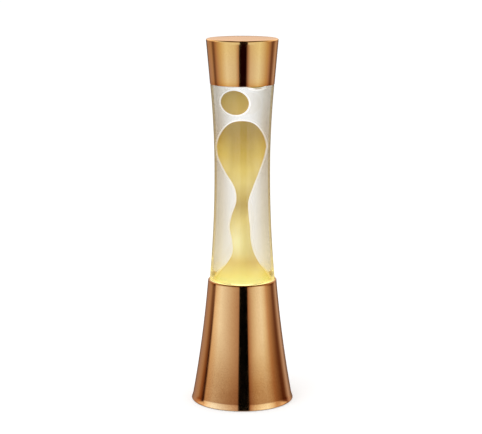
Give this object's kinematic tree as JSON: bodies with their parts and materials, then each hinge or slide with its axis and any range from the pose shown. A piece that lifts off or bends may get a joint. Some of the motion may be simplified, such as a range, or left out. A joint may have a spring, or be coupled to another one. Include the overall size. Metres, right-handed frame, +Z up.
{
  "type": "liquid motion lamp",
  "caption": "Table lamp with a waisted glass bottle of liquid and drifting wax, lit by a bulb in its flared metal base and topped by a metal cap.",
  "frame": {"origin": "on the surface that the lamp stands on, under the middle of its base", "axes": "+Z up along the lamp's axis, +Y to the back, where the mains lead enters, +X to the right as seen from the front"},
  "size_m": [0.1126, 0.1126, 0.4],
  "materials": {
    "copper_plate": "spun aluminium, copper plated and lacquered",
    "black_rubber": "moulded, matt",
    "zinc_steel": "zinc plated",
    "black_moulding": "moulded, fine texture",
    "holder_moulding": "heat-proof moulding",
    "white_ceramic": "fired, unglazed",
    "brass_sheet": "pressed",
    "solder": "solder, slightly dull",
    "black_glass": "opaque black glass",
    "nickel_shell": "nickel plated",
    "bulb_glass": "silvered inside, frosted face",
    "stem_glass": "clear",
    "nickel_wire": "drawn wire",
    "filament": "tungsten, lit",
    "bottle_glass": "blown, clear",
    "tinplate": "lacquered tinplate",
    "liner": "soft moulded liner",
    "clear_liquid": "clear liquid",
    "wax": "warm wax, lit from below",
    "coil_wire": "coiled wire"
  },
  "bodies": {
    "base": {"base_shell": "copper_plate", "cord_grommet": "black_rubber", "bottle_seat": "zinc_steel", "base_plate": "black_moulding", "shell_tabs": "zinc_steel", "plate_screws": "zinc_steel", "rubber_feet": "black_rubber", "holder_rod": "zinc_steel", "rod_washer": "zinc_steel", "rod_nut": "zinc_steel", "holder_dome": "holder_moulding", "holder_skirt": "holder_moulding", "holder_core": "white_ceramic", "holder_sleeve": "brass_sheet", "holder_tongue": "brass_sheet", "terminal_screws": "brass_sheet"},
    "bulb_tip": {"bulb_contact": "solder"},
    "bulb": {"bulb_insulator": "black_glass", "bulb_screw_shell": "nickel_shell", "bulb_envelope": "bulb_glass", "bulb_stem": "stem_glass", "bulb_leads": "nickel_wire", "bulb_filament": "filament"},
    "bottle": {"glass_bottle": "bottle_glass", "crown_cap": "tinplate", "crown_liner": "liner", "clear_liquid": "clear_liquid", "wax_column": "wax", "wax_coil": "coil_wire", "wax_drop": "wax"},
    "floating_wax": {"wax_ball": "wax"},
    "cap": {"top_cap": "copper_plate"}
  },
  "joints": [
    {"name": "bottle_lift", "type": "slide", "parent": "base", "child": "bottle", "axis": [0, 0, 1], "range_m": [0, 0.05]},
    {"name": "cap_lift", "type": "slide", "parent": "bottle", "child": "cap", "axis": [0, 0, 1], "range_m": [0, 0.06]},
    {"name": "wax_float", "type": "slide", "parent": "bottle", "child": "floating_wax", "axis": [0, 0, 1], "range_m": [0, 0.0055]},
    {"name": "bulb_rise", "type": "slide", "parent": "base", "child": "bulb_tip", "axis": [0, 0, 1], "range_m": [0, 0.0085]},
    {"name": "bulb_turn", "type": "hinge", "parent": "bulb_tip", "child": "bulb", "pos_m": [0, 0, 0.05], "axis": [0, 0, 1], "range_deg": [0, 1080]}
  ],
  "couplings": [
    {"joint": "bulb_rise", "follows": "bulb_turn", "m_per_rad": 0.00044882}
  ]
}
